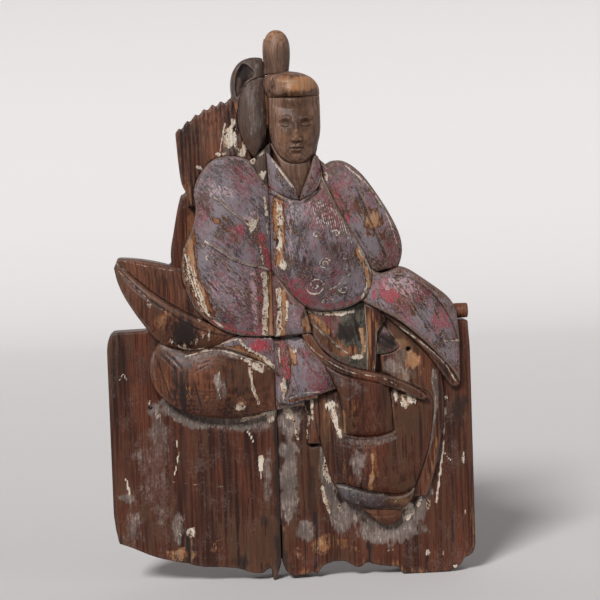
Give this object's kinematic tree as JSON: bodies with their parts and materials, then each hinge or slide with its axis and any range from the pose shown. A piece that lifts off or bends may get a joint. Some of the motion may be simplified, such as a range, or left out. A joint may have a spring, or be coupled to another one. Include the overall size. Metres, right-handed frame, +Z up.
{
  "type": "carved relief panel",
  "caption": "Carved and painted wooden relief panel of a seated court guardian in cap and wide robe: pegged blocks on dowelled upright boards, iron staples behind.",
  "frame": {"origin": "centre of the bounding box at its lowest level, where the boards stand", "axes": "+Z up, +X to the viewer's right, the carving faces -Y and the flat back faces +Y"},
  "size_m": [0.365, 0.074, 0.551],
  "materials": {
    "bare_wood": "worn satin, red-brown",
    "weathered_wood": "grey-brown, dirty",
    "purple_paint": "worn purple-grey paint over gesso",
    "crimson_paint": "flaked crimson paint over gesso",
    "black_paint": "worn black paint",
    "face_wood": "rubbed brown",
    "bamboo": "dry",
    "iron": "rusted"
  },
  "bodies": {
    "root": {"left_board": "bare_wood", "right_board": "bare_wood", "seam_dowels": "bamboo", "back_staples": "iron", "block_pegs": "bamboo", "head_block": "face_wood", "cap_crown": "face_wood", "cap_knob": "face_wood", "cap_tail": "weathered_wood", "side_lock": "weathered_wood", "collar_left": "purple_paint", "collar_right": "purple_paint", "neck_wedge": "face_wood", "nape_strip": "weathered_wood", "torso": "purple_paint", "left_sleeve": "purple_paint", "left_cuff": "crimson_paint", "right_shoulder": "purple_paint", "right_sleeve": "purple_paint", "sleeve_lining": "weathered_wood", "arrow_sheaf": "weathered_wood", "robe_flap_outer": "bare_wood", "robe_flap_inner": "weathered_wood", "sash_bow": "black_paint", "sash_lobe": "black_paint", "sash_strap": "black_paint", "sword": "bare_wood", "tassel": "bare_wood", "inner_skirt": "crimson_paint", "folded_knee": "bare_wood", "front_panel": "purple_paint", "thigh_panel": "bare_wood", "hip_panel": "bare_wood", "shin_skirt": "bare_wood", "hem_band": "purple_paint", "shoe": "bare_wood", "bar_stub": "bare_wood"}
  },
  "joints": []
}
